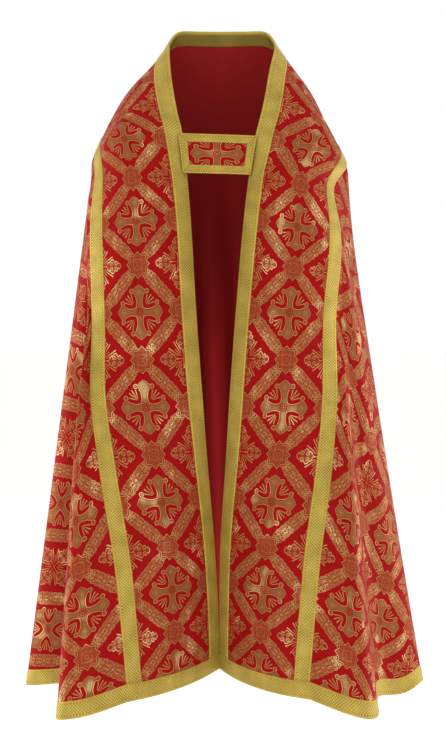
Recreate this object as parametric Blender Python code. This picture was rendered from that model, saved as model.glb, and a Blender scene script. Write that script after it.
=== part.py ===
"""Cope: a semicircular cloak, lined, edged with gold galloon and closed at the chest by a morse.

Metres, +Z up, the wearer faces -Y. The origin is on the wearer's axis at the height of the shoulders.
Cloth coordinates: along is measured on the straight edge from the nape, minus to the wearer's right,
and across is measured into the cloth, square to that edge.
"""

import bpy
import numpy as np

# Cut of the cloak
BAND_WIDTH = 0.235  # straight edge to the outer line of the second galloon
GALLOON = 0.031
HEM_GALLOON = 0.030
NAPE_HEIGHT = 0.165
HEM_ANGLE, HEM_RADIUS = 0, 1
HEM_CUT = np.array([  # angle at the nape in degrees, radius of the cut
    (0, 1.453), (9, 1.474), (16, 1.495), (28, 1.500), (45, 1.475), (90, 1.384),
    (135, 1.475), (152, 1.500), (164, 1.495), (171, 1.474), (180, 1.453),
])

# Wall
BROCADE = 0.0014
LINING = 0.0010
BRAID = 0.0010
GAP = 0.0003

# One row for each section square to the straight edge: its distance along the edge, where the
# edge lies, and where the outer line of the second galloon lies. Heights are below the nape.
# Lift is the lean of the section's bow from outward to upward, in degrees.
ALONG = 0
EDGE = slice(1, 4)
OUTER = slice(4, 7)
LIFT = slice(7, 8)
BACK_SECTIONS = [
    (0.000, 0.000, 0.075, 0.000, 0.000, 0.165, -0.217, 0),
    (0.044, 0.0445, 0.0742, 0.000, 0.0425, 0.1618, -0.2165, 4),
    (0.088, 0.088, 0.070, -0.001, 0.083, 0.152, -0.218, 10),
    (0.140, 0.108, 0.030, -0.028, 0.122, 0.128, -0.228, 20),
    (0.173, 0.109, 0.000, -0.042, 0.152, 0.104, -0.230, 25),
]
RIGHT_SECTIONS = [  # the wearer's right front, at -X
    (0.245, 0.1045, -0.045, -0.097, 0.222, 0.060, -0.236, 20),
    (0.326, 0.0925, -0.080, -0.170, 0.255, 0.022, -0.250, 20),
    (0.385, 0.0800, -0.100, -0.224, 0.260, -0.015, -0.262, 15),
    (0.460, 0.0715, -0.108, -0.297, 0.257, -0.065, -0.310, 8),
    (0.526, 0.0657, -0.115, -0.363, 0.262, -0.100, -0.380, 0),
    (0.753, 0.0516, -0.125, -0.590, 0.2605, -0.125, -0.600, 0),
    (0.925, 0.0390, -0.130, -0.760, 0.261, -0.160, -0.765, 0),
    (1.022, 0.0317, -0.135, -0.858, 0.2445, -0.205, -0.868, 0),
    (1.228, 0.0150, -0.142, -1.063, 0.208, -0.260, -1.080, 0),
    (1.400, 0.0068, -0.1485, -1.236, 0.188, -0.291, -1.260, 0),
    (1.453, 0.0065, -0.150, -1.288, 0.182, -0.300, -1.315, 0),
]
LEFT_SECTIONS = [  # the wearer's left front, at +X
    (0.245, 0.0975, -0.045, -0.092, 0.213, 0.060, -0.242, 20),
    (0.326, 0.0825, -0.080, -0.170, 0.245, 0.022, -0.260, 20),
    (0.385, 0.0680, -0.100, -0.228, 0.254, -0.025, -0.285, 15),
    (0.460, 0.0560, -0.108, -0.300, 0.225, -0.075, -0.335, 8),
    (0.526, 0.0480, -0.115, -0.363, 0.236, -0.100, -0.405, 0),
    (0.753, 0.0278, -0.125, -0.590, 0.228, -0.130, -0.600, 0),
    (0.925, 0.0155, -0.130, -0.760, 0.229, -0.160, -0.765, 0),
    (1.022, 0.0099, -0.135, -0.858, 0.220, -0.190, -0.868, 0),
    (1.228, -0.0025, -0.142, -1.063, 0.190, -0.260, -1.080, 0),
    (1.400, -0.0035, -0.1485, -1.236, 0.1733, -0.291, -1.256, 0),
    (1.453, -0.0035, -0.150, -1.288, 0.1683, -0.300, -1.310, 0),
]

# One row for each fold line below the band: where it leaves the band's outer line, the angle at
# which it meets the hem, where it hangs there in plan, and how far the bias lets it stretch.
LEAVES, ANGLE, PLAN, STRETCH = 0, 1, slice(2, 4), slice(4, 5)
RIGHT_FOLDS = [
    (-0.620, 9.3, -0.182, -0.300, 1.03),
    (-0.608, 12.0, -0.255, -0.335, 1.06),
    (-0.596, 14.5, -0.312, -0.325, 1.07),
    (-0.583, 17.5, -0.300, -0.240, 1.06),
    (-0.555, 29.0, -0.165, 0.020, 1.00),
    (-0.520, 33.7, -0.285, -0.012, 1.04),
    (-0.485, 37.5, -0.378, -0.004, 1.07),
    (-0.458, 40.5, -0.399, 0.042, 1.085),
]
LEFT_FOLDS = [
    (0.370, 150.0, 0.350, 0.060, 1.03),
    (0.425, 155.5, 0.407, -0.100, 1.02),
    (0.690, 160.5, 0.310, -0.180, 1.03),
    (0.745, 164.5, 0.2965, -0.310, 1.085),
    (0.760, 167.5, 0.250, -0.338, 1.08),
    (0.774, 170.7, 0.1683, -0.300, 1.03),
]
BACK_FLUTES = 6
FLUTE_ANGLES = (50.0, 146.0)
FLUTE_LEAVES = (-0.405, 0.340)
FLUTE_ARC = (152.0, 17.0)  # from the right side round the back, in degrees
BACK_HALF_WIDTH, BACK_DEPTH = 0.421, 0.420
BIAS_STRETCH = 0.05
FLUTE_SPREAD = 1.12  # over 1, the flutes widen towards the wearer's left
FLUTE_DEPTH = 0.44  # of the outline's radius
FLUTE_SWING = 98.0  # the most that the cloth turns from the outline, in degrees
FLUTE_LINES = 8  # fold lines to a flute

# Morse
MORSE_ALONG = (0.387, 0.468)  # its top and bottom on the straight edge
MORSE_LAP_RIGHT, MORSE_LAP_LEFT = 0.007, 0.002
MORSE_FRAME = 0.017
MORSE_TAB = 0.0016
MORSE_STEPS = 8
MORSE_SWELL = 0.004
MORSE_WIDTH = 0.158
MORSE_CLEAR = BROCADE / 2 + BRAID + 2 * GAP + 0.002  # in front of the cloth's middle

# Mesh
MARGIN = 0.003  # from the outer galloon to the line where the fall begins
LINES_ACROSS = (0.0, GALLOON, 0.110, BAND_WIDTH - GALLOON - MARGIN, BAND_WIDTH - MARGIN, BAND_WIDTH)
FALL_ROWS = (0.0, 0.06, 0.13, 0.22, 0.36, 0.52, 0.68, 0.84)
STEPS_PER_FOLD = 4
BEND = 0.05  # length over which the cloth turns from the shoulders to its fall
EASE = 0.020  # folds smaller than this are eased out
EASE_LEAST = 0.004  # round the back
EASE_AT_TOP = 3.0  # and more of them where the fall begins
FADE_FOLDS = 3.5  # fold lines over which the fall takes up the run of the band's outer line
NECK_STATIONS = 15


UP = np.array((0.0, 0.0, 1.0))


def curve(at, knots, values):
    """A smooth curve through the values at the knots, read at each place."""
    values = np.asarray(values, float)
    knots = np.asarray(knots, float)
    slopes = np.gradient(values, knots, axis=0)
    at = np.asarray(at, float)
    left = np.clip(np.searchsorted(knots, at, side="right") - 1, 0, len(knots) - 2)
    span = knots[left + 1] - knots[left]
    t = ((at - knots[left]) / span)[..., None]
    span = span[..., None]
    return (
        (1 + 2 * t) * (1 - t) ** 2 * values[left]
        + t * (1 - t) ** 2 * span * slopes[left]
        + t**2 * (3 - 2 * t) * values[left + 1]
        - t**2 * (1 - t) * span * slopes[left + 1]
    )


def section_table():
    """The sections from the wearer's right hem corner round the nape to the left one."""
    back = np.array(BACK_SECTIONS)
    right = np.vstack([back[1:], RIGHT_SECTIONS])[::-1] * (-1, -1, 1, 1, -1, 1, 1, 1)
    return np.vstack([right, back[:1], back[1:], LEFT_SECTIONS])


SECTIONS = section_table()


def unit(vectors):
    return vectors / np.linalg.norm(vectors, axis=-1, keepdims=True)


def band(along, across):
    """A point of the band beside the straight edge, bowed so that each section keeps its width."""
    rows = curve(along, SECTIONS[:, ALONG], SECTIONS)
    edge, outer = rows[..., EDGE], rows[..., OUTER]
    ahead = curve(np.asarray(along) + 1e-3, SECTIONS[:, ALONG], SECTIONS)[..., EDGE]
    chord = outer - edge
    reach = np.linalg.norm(chord, axis=-1, keepdims=True)
    outward = unit(np.cross(ahead - edge, chord))
    upward = unit(UP - chord * chord[..., 2:] / reach**2)
    lift = np.radians(rows[..., LIFT])
    bow = unit(outward * np.cos(lift) + upward * np.sin(lift))
    slack = np.clip(BAND_WIDTH / reach - 1, 0, None)
    sag = reach * np.sqrt(3 / 8 * slack)
    part = (np.asarray(across) / BAND_WIDTH)[..., None]
    return edge + chord * part + bow * sag * 4 * part * (1 - part)


def hem_radius(angle):
    return curve(angle, HEM_CUT[:, HEM_ANGLE], HEM_CUT[:, HEM_RADIUS:])[..., 0]


def hem_along(across, side):
    """Where the hem meets the line at this distance across, on the wearer's right or left."""
    along = np.full_like(np.asarray(across, float), 1.45)
    for _ in range(8):
        angle = np.degrees(np.arctan2(across, side * along))
        along = np.sqrt(hem_radius(angle) ** 2 - np.square(across))
    return side * along


def flute_folds():
    """The fold lines round the back: each flute is a bight of cloth whose heading swings evenly."""
    fine = 16
    along = np.arange(BACK_FLUTES * FLUTE_LINES * fine + 1) / (FLUTE_LINES * fine)
    heading = np.radians(FLUTE_SWING) * np.sin(2 * np.pi * (along[:-1] + along[1] / 2))
    sideways = np.append(0.0, np.cumsum(np.cos(heading)))[::fine]
    outward = np.append(0.0, np.cumsum(np.sin(heading)))[::fine]
    sideways, outward = sideways / sideways[-1], outward / outward.max()
    steps = np.linspace(0, 1, len(sideways))
    turn = np.radians(FLUTE_ARC[0] + (FLUTE_ARC[1] - FLUTE_ARC[0]) * sideways**FLUTE_SPREAD)
    reach = 1 - FLUTE_DEPTH * (1 - outward)
    return np.column_stack([
        FLUTE_LEAVES[0] + (FLUTE_LEAVES[1] - FLUTE_LEAVES[0]) * steps,
        FLUTE_ANGLES[0] + (FLUTE_ANGLES[1] - FLUTE_ANGLES[0]) * steps,
        BACK_HALF_WIDTH * reach * np.cos(turn),
        BACK_DEPTH * reach * np.sin(turn),
        1 + BIAS_STRETCH * np.cos(turn) ** 2,
    ])


FOLDS = np.vstack([RIGHT_FOLDS, flute_folds(), LEFT_FOLDS])


def fall(fold, part):
    """A point on the cloth below the band: on this fold line, at this part of its length."""
    fold, part = np.broadcast_arrays(np.asarray(fold, float), np.asarray(part, float))
    rows = curve(fold, np.arange(len(FOLDS)), FOLDS)
    angle = np.radians(rows[..., ANGLE])
    leaves = rows[..., LEAVES]
    radius = hem_radius(rows[..., ANGLE])
    flat = np.stack([-radius * np.cos(angle) - leaves, radius * np.sin(angle) - BAND_WIDTH], -1)
    length = np.linalg.norm(flat, axis=-1, keepdims=True)
    heading = flat / length
    start = band(leaves, BAND_WIDTH)
    small = 1e-3
    along = unit(band(leaves + small, BAND_WIDTH) - start)
    across = unit(start - band(leaves, BAND_WIDTH - small))
    leaving = heading[..., :1] * along + heading[..., 1:] * across
    length = length * rows[..., STRETCH]
    bend = np.minimum(BEND, 0.6 * length)
    plan = (rows[..., PLAN] - start[..., :2] - leaving[..., :2] * bend / 2) / (length - bend / 2)
    drop = np.sqrt(np.clip(1 - np.sum(plan**2, axis=-1, keepdims=True), 0.01, None))
    hanging = np.concatenate([plan, -drop], axis=-1)
    run = part[..., None] * length
    turned = np.clip(run / bend, 0, 1)
    settled = bend * (turned**3 - turned**4 / 2) + np.clip(run - bend, 0, None)
    return start + leaving * (run - settled) + hanging * settled


def relaxed(points, cut, parts, front):
    """The fall with the smallest folds of its fronts eased out, as stiff brocade eases them."""
    made = np.empty_like(points)
    for row, down in enumerate(parts.mean(axis=0)):
        reach = EASE_LEAST + EASE * front[:, None] * (1 + EASE_AT_TOP * (1 - down) ** 4)
        line = points[:, row]
        steps = np.linalg.norm(np.diff(cut[:, row], axis=0), axis=1)
        run = np.append(0.0, np.cumsum(steps))
        places = np.concatenate([-run[:0:-1], run, 2 * run[-1] - run[-2::-1]])
        reflected = np.vstack([2 * line[0] - line[:0:-1], line, 2 * line[-1] - line[-2::-1]])
        weights = np.exp(-(((run[:, None] - places) / reach) ** 2)) * np.gradient(places)
        made[:, row] = weights @ reflected / weights.sum(axis=1, keepdims=True)
    return made


def hem_row(start, end):
    """Distances down a line of the cloth, the last two being the hem galloon's edges."""
    length = abs(end - start)
    down = np.append(length * np.array(FALL_ROWS), (length - HEM_GALLOON, length))
    return start + np.sign(end - start) * down


def fall_columns():
    """The cloth below the band as a grid, whose first and last columns are the band's outer line."""
    last = len(FOLDS) - 1
    first_flute, last_flute = len(RIGHT_FOLDS), last - len(LEFT_FOLDS)
    folds = np.concatenate([
        np.linspace(0, first_flute, STEPS_PER_FOLD * first_flute + 1),
        np.arange(first_flute + 1, last_flute),
        np.linspace(last_flute, last, STEPS_PER_FOLD * (last - last_flute) + 1),
    ])
    rows = curve(folds, np.arange(len(FOLDS)), FOLDS)
    angle = np.radians(rows[:, ANGLE])
    radius = hem_radius(rows[:, ANGLE])
    length = np.hypot(radius * np.cos(angle) + rows[:, LEAVES], radius * np.sin(angle) - BAND_WIDTH)
    parts = np.array([hem_row(0.0, each) / each for each in length])
    points = fall(folds[:, None], parts)
    for side, column in ((-1, 0), (1, -1)):
        line = hem_row(rows[column, LEAVES], hem_along(BAND_WIDTH, side))
        stray = band(line, BAND_WIDTH) - points[column]
        near = folds if side < 0 else last - folds
        fade = np.clip(1 - near / FADE_FOLDS, 0, 1) ** 1.5
        points += fade[:, None, None] * stray
    hem = np.stack([-radius * np.cos(angle), radius * np.sin(angle)], axis=-1)
    leave = np.stack([rows[:, LEAVES], np.full(len(rows), BAND_WIDTH)], axis=-1)
    cut = leave[:, None] + (hem - leave)[:, None] * parts[..., None]
    front = np.clip(2 - np.minimum(folds, last - folds) / FADE_FOLDS, 0, 1)
    return rows[:, LEAVES], relaxed(points, cut, parts, front)


def cloth():
    """The whole cloth: its points, and the band and the fall as grids from the wearer's left."""
    leaves, below = fall_columns()
    count = below.shape[0] * below.shape[1]
    fall_grid = np.arange(count).reshape(below.shape[:2])
    lines = []
    for across in LINES_ACROSS[:-1]:
        right = hem_row(leaves[0], hem_along(across, -1))[:0:-1]
        left = hem_row(leaves[-1], hem_along(across, 1))[1:]
        lines.append(band(np.concatenate([right, leaves, left]), across))
    beside = np.stack(lines, axis=1)
    seam = np.concatenate([fall_grid[0, :0:-1], fall_grid[:, 0], fall_grid[-1, 1:]])
    band_grid = count + np.arange(beside.shape[0] * beside.shape[1]).reshape(beside.shape[:2])
    band_grid = np.column_stack([band_grid, seam])
    points = np.vstack([below.reshape(-1, 3), beside.reshape(-1, 3)])
    return points + (0.0, 0.0, NAPE_HEIGHT), band_grid[::-1], fall_grid[::-1]


def faces_of(grid):
    """The triangles of a grid of point numbers, facing outward, each square cut the same way."""
    first = np.stack([grid[:-1, :-1], grid[:-1, 1:], grid[1:, 1:]], axis=-1)
    second = np.stack([grid[:-1, :-1], grid[1:, 1:], grid[1:, :-1]], axis=-1)
    return np.concatenate([first.reshape(-1, 3), second.reshape(-1, 3)])


def outward_normals(points, faces):
    first, second, third = points[faces.T]
    square = np.cross(second - first, third - first)
    normals = np.zeros_like(points)
    for corner in range(3):
        np.add.at(normals, faces[:, corner], square)
    return unit(normals)


def material(name, colour, roughness, metallic):
    made = bpy.data.materials.new(name)
    made.use_nodes = True
    shader = made.node_tree.nodes["Principled BSDF"]
    shader.inputs["Base Color"].default_value = (*colour, 1.0)
    shader.inputs["Roughness"].default_value = roughness
    shader.inputs["Metallic"].default_value = metallic
    made.diffuse_color = (*colour, 1.0)
    return made


def wall(name, points, normals, faces, inner, outer, finish):
    """A closed wall between two offsets of the cloth."""
    used, numbers = np.unique(faces, return_inverse=True)
    faces = numbers.reshape(-1, 3)
    ends = np.concatenate([faces[:, [k, (k + 1) % 3]] for k in range(3)])
    pairs, index, shared = np.unique(
        np.sort(ends, axis=1), axis=0, return_inverse=True, return_counts=True
    )
    rim = ends[shared[index.reshape(-1)] == 1]
    count = len(used)
    skins = np.vstack([
        points[used] + normals[used] * outer,
        points[used] + normals[used] * inner,
    ])
    sides = np.column_stack([rim[:, 1], rim[:, 0], rim[:, 0] + count, rim[:, 1] + count])
    mesh = bpy.data.meshes.new(name)
    skin_faces = np.vstack([faces, faces[:, ::-1] + count])
    mesh.from_pydata(skins.tolist(), [], skin_faces.tolist() + sides.tolist())
    mesh.shade_smooth()
    mesh.set_sharp_from_angle(angle=np.radians(60))
    mesh.materials.append(finish)
    made = bpy.data.objects.new(name, mesh)
    bpy.context.scene.collection.objects.link(made)
    return made


def eased(points, grid):
    """The points with both ends of this strip drawn back, clear of the hem galloon."""
    moved = points.copy()
    for end, inside in ((0, 1), (-1, -2)):
        moved[grid[end]] += unit(points[grid[inside]] - points[grid[end]]) * GAP
    return moved


def build_cope(brocade, lining, gold):
    points, band_grid, fall_grid = cloth()
    faces = np.vstack([faces_of(band_grid), faces_of(fall_grid)])
    normals = outward_normals(points, faces)
    face_of = BROCADE / 2
    wall("cope_body", points, normals, faces, -face_of, face_of, brocade)
    wall("lining", points, normals, faces, -face_of - GAP - LINING, -face_of - GAP, lining)
    braid = (face_of + GAP, face_of + GAP + BRAID)
    hem = np.vstack([faces_of(band_grid[:2]), faces_of(band_grid[-2:]), faces_of(fall_grid[:, -2:])])
    wall("hem_galloon", points, normals, hem, *braid, gold)
    edge = band_grid[1:-1, :2]
    wall("edge_galloon", eased(points, edge), normals, faces_of(edge), *braid, gold)
    second = band_grid[1:-1, -3:-1]
    wall("outer_galloon", eased(points, second), normals, faces_of(second), *braid, gold)
    neck = np.abs(np.arange(len(band_grid)) - len(band_grid) // 2) <= NECK_STATIONS
    inside = (-face_of - 2 * GAP - LINING - BRAID, -face_of - 2 * GAP - LINING)
    wall("neck_galloon", points, normals, faces_of(band_grid[neck, :2]), *inside, gold)


def morse_point(over, down, clear):
    """A point of the morse: over runs from its right end to its left, down from its top."""
    along = MORSE_ALONG[0] + (MORSE_ALONG[1] - MORSE_ALONG[0]) * down
    start, end = (edge_point(-along, MORSE_LAP_RIGHT), edge_point(along, MORSE_LAP_LEFT))
    front = min(start[1], edge_point(-along, 0.0)[1], end[1], edge_point(along, 0.0)[1])
    point = start + (end - start) * over
    point[1] = front - clear - MORSE_SWELL * 4 * over * (1 - over)
    return point


def edge_point(along, across):
    return band(np.array(along), np.array(across)) + (0.0, 0.0, NAPE_HEIGHT)


def morse_piece(name, corners, steps, inner, thickness, finish):
    """A four-sided piece of the morse. Its corners go round from the top right, in shares."""
    grid = np.arange(2 * (steps + 1)).reshape(steps + 1, 2)
    points = []
    for share in np.linspace(0, 1, steps + 1):
        for first, second in ((0, 1), (3, 2)):
            over, down = np.array(corners[first]) * (1 - share) + np.array(corners[second]) * share
            points.append(morse_point(over, down, inner))
    points = np.array(points)
    forward = np.tile((0.0, -1.0, 0.0), (len(points), 1))
    faces = faces_of(grid)
    return wall(name, points, forward, faces, 0.0, thickness, finish)


def build_morse(brocade, gold):
    """The tab across the chest, of brocade in a frame of mitred galloon."""
    width, height = MORSE_WIDTH, MORSE_ALONG[1] - MORSE_ALONG[0]
    side, end = MORSE_FRAME / width, MORSE_FRAME / height
    slit, gap = GAP / width, GAP / height
    clear = MORSE_CLEAR
    whole = ((0, 0), (1, 0), (1, 1), (0, 1))
    morse_piece("morse", whole, MORSE_STEPS, clear, MORSE_TAB, brocade)
    clear += MORSE_TAB + GAP
    strips = {
        "morse_galloon_top": ((slit, 0), (1 - slit, 0), (1 - side - slit, end), (side + slit, end)),
        "morse_galloon_bottom": (
            (side + slit, 1 - end), (1 - side - slit, 1 - end), (1 - slit, 1), (slit, 1),
        ),
        "morse_galloon_right": ((0, gap), (side, end + gap), (side, 1 - end - gap), (0, 1 - gap)),
        "morse_galloon_left": (
            (1 - side, end + gap), (1, gap), (1, 1 - gap), (1 - side, 1 - end - gap),
        ),
    }
    for name, corners in strips.items():
        morse_piece(name, corners, MORSE_STEPS, clear, BRAID, gold)


def main():
    for old in list(bpy.data.objects):
        bpy.data.objects.remove(old, do_unlink=True)
    brocade = material("brocade", (0.45, 0.03, 0.03), 0.45, 0.1)
    lining = material("lining", (0.14, 0.006, 0.006), 0.6, 0.0)
    gold = material("gold_galloon", (0.50, 0.36, 0.08), 0.45, 0.5)
    build_cope(brocade, lining, gold)
    build_morse(brocade, gold)


main()
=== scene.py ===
import math

import bpy
import numpy as np
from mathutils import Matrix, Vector


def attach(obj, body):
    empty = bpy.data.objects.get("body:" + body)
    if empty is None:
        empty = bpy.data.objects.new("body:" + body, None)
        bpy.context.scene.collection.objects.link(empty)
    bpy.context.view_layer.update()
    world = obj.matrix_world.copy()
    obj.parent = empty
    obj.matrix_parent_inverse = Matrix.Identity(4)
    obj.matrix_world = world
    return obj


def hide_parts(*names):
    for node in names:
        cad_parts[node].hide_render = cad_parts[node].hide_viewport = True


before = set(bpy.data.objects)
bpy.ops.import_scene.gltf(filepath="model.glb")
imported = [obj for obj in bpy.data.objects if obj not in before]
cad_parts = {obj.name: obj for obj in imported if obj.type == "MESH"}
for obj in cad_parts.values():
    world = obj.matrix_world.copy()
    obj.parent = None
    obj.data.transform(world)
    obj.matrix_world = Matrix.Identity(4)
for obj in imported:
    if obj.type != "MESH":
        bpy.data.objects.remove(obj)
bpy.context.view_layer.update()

# Cut of the cloak, in metres. Along runs on the straight edge from the nape, minus to the wearer's
# right, and across runs into the cloth, square to that edge.
BAND_WIDTH = 0.235
GALLOON = 0.031
HEM_GALLOON = 0.030
NAPE_HEIGHT = 0.165
HEM_ANGLE, HEM_RADIUS = 0, 1
HEM_CUT = np.array([  # angle at the nape in degrees, radius of the cut
    (0, 1.453), (9, 1.474), (16, 1.495), (28, 1.500), (45, 1.475), (90, 1.384),
    (135, 1.475), (152, 1.500), (164, 1.495), (171, 1.474), (180, 1.453),
])

# Layers, from the middle of the brocade outward
BROCADE_FACE = 0.0007
LINING_FACE = -0.0020
BRAID_BACK, BRAID_FACE, BRAID_THICK = 0.0009, 0.0020, 0.0010
BRAID_IN_BACK, BRAID_IN_FACE = -0.0023, -0.0034

# Sections square to the straight edge: along, the edge's place, the outer line's place, lift of
# the bow in degrees. Heights are below the nape.
ALONG = 0
EDGE = slice(1, 4)
OUTER = slice(4, 7)
LIFT = slice(7, 8)
BACK_SECTIONS = [
    (0.000, 0.000, 0.075, 0.000, 0.000, 0.165, -0.217, 0),
    (0.044, 0.0445, 0.0742, 0.000, 0.0425, 0.1618, -0.2165, 4),
    (0.088, 0.088, 0.070, -0.001, 0.083, 0.152, -0.218, 10),
    (0.140, 0.108, 0.030, -0.028, 0.122, 0.128, -0.228, 20),
    (0.173, 0.109, 0.000, -0.042, 0.152, 0.104, -0.230, 25),
]
RIGHT_SECTIONS = [  # the wearer's right front, at -X
    (0.245, 0.1045, -0.045, -0.097, 0.222, 0.060, -0.236, 20),
    (0.326, 0.0925, -0.080, -0.170, 0.255, 0.022, -0.250, 20),
    (0.385, 0.0800, -0.100, -0.224, 0.260, -0.015, -0.262, 15),
    (0.460, 0.0715, -0.108, -0.297, 0.257, -0.065, -0.310, 8),
    (0.526, 0.0657, -0.115, -0.363, 0.262, -0.100, -0.380, 0),
    (0.753, 0.0516, -0.125, -0.590, 0.2605, -0.125, -0.600, 0),
    (0.925, 0.0390, -0.130, -0.760, 0.261, -0.160, -0.765, 0),
    (1.022, 0.0317, -0.135, -0.858, 0.2445, -0.205, -0.868, 0),
    (1.228, 0.0150, -0.142, -1.063, 0.208, -0.260, -1.080, 0),
    (1.400, 0.0068, -0.1485, -1.236, 0.188, -0.291, -1.260, 0),
    (1.453, 0.0065, -0.150, -1.288, 0.182, -0.300, -1.315, 0),
]
LEFT_SECTIONS = [  # the wearer's left front, at +X
    (0.245, 0.0975, -0.045, -0.092, 0.213, 0.060, -0.242, 20),
    (0.326, 0.0825, -0.080, -0.170, 0.245, 0.022, -0.260, 20),
    (0.385, 0.0680, -0.100, -0.228, 0.254, -0.025, -0.285, 15),
    (0.460, 0.0560, -0.108, -0.300, 0.225, -0.075, -0.335, 8),
    (0.526, 0.0480, -0.115, -0.363, 0.236, -0.100, -0.405, 0),
    (0.753, 0.0278, -0.125, -0.590, 0.228, -0.130, -0.600, 0),
    (0.925, 0.0155, -0.130, -0.760, 0.229, -0.160, -0.765, 0),
    (1.022, 0.0099, -0.135, -0.858, 0.220, -0.190, -0.868, 0),
    (1.228, -0.0025, -0.142, -1.063, 0.190, -0.260, -1.080, 0),
    (1.400, -0.0035, -0.1485, -1.236, 0.1733, -0.291, -1.256, 0),
    (1.453, -0.0035, -0.150, -1.288, 0.1683, -0.300, -1.310, 0),
]

# Fold lines below the band: where each leaves the band's outer line, the angle at which it meets
# the hem, where it hangs there in plan, and how far the bias lets it stretch.
LEAVES, ANGLE, PLAN, STRETCH = 0, 1, slice(2, 4), slice(4, 5)
RIGHT_FOLDS = [
    (-0.620, 9.3, -0.182, -0.300, 1.03),
    (-0.608, 12.0, -0.255, -0.335, 1.06),
    (-0.596, 14.5, -0.312, -0.325, 1.07),
    (-0.583, 17.5, -0.300, -0.240, 1.06),
    (-0.555, 29.0, -0.165, 0.020, 1.00),
    (-0.520, 33.7, -0.285, -0.012, 1.04),
    (-0.485, 37.5, -0.378, -0.004, 1.07),
    (-0.458, 40.5, -0.399, 0.042, 1.085),
]
LEFT_FOLDS = [
    (0.370, 150.0, 0.350, 0.060, 1.03),
    (0.425, 155.5, 0.407, -0.100, 1.02),
    (0.690, 160.5, 0.310, -0.180, 1.03),
    (0.745, 164.5, 0.2965, -0.310, 1.085),
    (0.760, 167.5, 0.250, -0.338, 1.08),
    (0.774, 170.7, 0.1683, -0.300, 1.03),
]
BACK_FLUTES = 6
FLUTE_ANGLES = (50.0, 146.0)
FLUTE_LEAVES = (-0.405, 0.340)
FLUTE_ARC = (152.0, 17.0)  # from the right side round the back, in degrees
BACK_HALF_WIDTH, BACK_DEPTH = 0.421, 0.420
BIAS_STRETCH = 0.05
FLUTE_SPREAD = 1.12  # over 1, the flutes widen towards the wearer's left
FLUTE_DEPTH = 0.44  # of the outline's radius
FLUTE_SWING = 98.0  # the most that the cloth turns from the outline, in degrees
FLUTE_LINES = 8  # fold lines to a flute
BEND = 0.05
EASE = 0.020  # folds smaller than this are eased out of the fronts
EASE_LEAST = 0.004  # and round the back
EASE_AT_TOP = 3.0  # more of them where the fall begins
FADE_FOLDS = 3.5
MARGIN = 0.003  # from the outer galloon to the line where the fall begins

# Fineness of the cloth, and the lines across a galloon as shares of its width
FRONT_STEPS, FLUTE_STEPS, BODY_ROWS = 20, 5, 84
BRAID_LINES = np.array((0.0, 0.05, 0.12, 0.31, 0.5, 0.69, 0.88, 0.95, 1.0))
ACROSS = np.concatenate([
    GALLOON * BRAID_LINES,
    np.linspace(GALLOON, BAND_WIDTH - MARGIN - GALLOON, 31)[1:],
    BAND_WIDTH - MARGIN - GALLOON * BRAID_LINES[-2::-1],
    (BAND_WIDTH,),
])
NECK_HALF = 0.233  # half the length of the galloon inside the neck
STITCH_PACE, STITCH_WIDE, STITCH_HIGH, STITCH_LINE = 0.0042, 0.0005, 0.0006, 2

# The weave's repeat: crosses and stars stand in line, half a repeat apart, at these places
REPEAT_ACROSS, HALF_REPEAT = 0.176, 0.0865
STAR_LINE = 0.1215  # across, of the first line of stars and crosses
REPEAT_PLACES = np.array((
    0.0, 0.0795, 0.159, 0.2385, 0.318, 0.3975, 0.4825, 0.555, 0.639, 0.7375, 0.834, 0.9295, 1.017,
    1.106, 1.1925, 1.2725, 1.351, 1.43, 1.51,
))

# Soft creases: start and end on the cut, half-width, height
CREASES = [
    ((-0.300, 0.050), (-0.420, 0.200), 0.016, 0.0035),
    ((-0.270, 0.120), (-0.380, 0.235), 0.012, -0.0030),
    ((-0.340, 0.040), (-0.560, 0.180), 0.020, -0.0028),
    ((-0.520, 0.050), (-0.760, 0.120), 0.022, 0.0030),
    ((-0.640, 0.150), (-0.980, 0.190), 0.018, -0.0032),
    ((-0.820, 0.060), (-1.150, 0.090), 0.024, -0.0025),
    ((-1.020, 0.120), (-1.330, 0.150), 0.020, 0.0030),
    ((-0.200, 0.060), (-0.255, 0.190), 0.013, 0.0026),
    ((0.260, 0.045), (0.400, 0.215), 0.015, 0.0040),
    ((0.300, 0.030), (0.500, 0.190), 0.018, -0.0035),
    ((0.245, 0.110), (0.330, 0.235), 0.012, -0.0030),
    ((0.480, 0.120), (0.720, 0.190), 0.020, -0.0040),
    ((0.560, 0.060), (0.860, 0.110), 0.021, 0.0028),
    ((0.780, 0.140), (1.120, 0.175), 0.019, 0.0034),
    ((0.900, 0.050), (1.260, 0.080), 0.024, -0.0028),
    ((1.120, 0.150), (1.380, 0.190), 0.017, -0.0026),
    ((0.205, 0.050), (0.250, 0.180), 0.012, 0.0024),
    ((-0.120, 0.100), (-0.190, 0.330), 0.020, 0.0030),
    ((0.110, 0.120), (0.200, 0.360), 0.019, -0.0030),
    ((-0.040, 0.160), (-0.060, 0.420), 0.024, -0.0028),
    ((0.045, 0.200), (0.030, 0.520), 0.022, 0.0026),
]

# Morse
MORSE_ALONG = (0.387, 0.468)  # its top and bottom on the straight edge
MORSE_LAP_RIGHT, MORSE_LAP_LEFT = 0.007, 0.002
MORSE_FRAME = 0.017
MORSE_TAB = 0.0016
MORSE_FINE = 30
MORSE_SWELL = 0.004
MORSE_WIDTH, MORSE_HEIGHT = 0.158, MORSE_ALONG[1] - MORSE_ALONG[0]
MORSE_CLEAR = 0.0043  # in front of the cloth's middle
SEAM = 0.0003  # between the frame's strips at their mitres
MORSE_STITCH = 0.12  # of a strip's width, from its edge to its stitches
MORSE_WEAVE = (0.86, 1.15)  # its brocade was cut from another place, of other repeats

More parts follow.
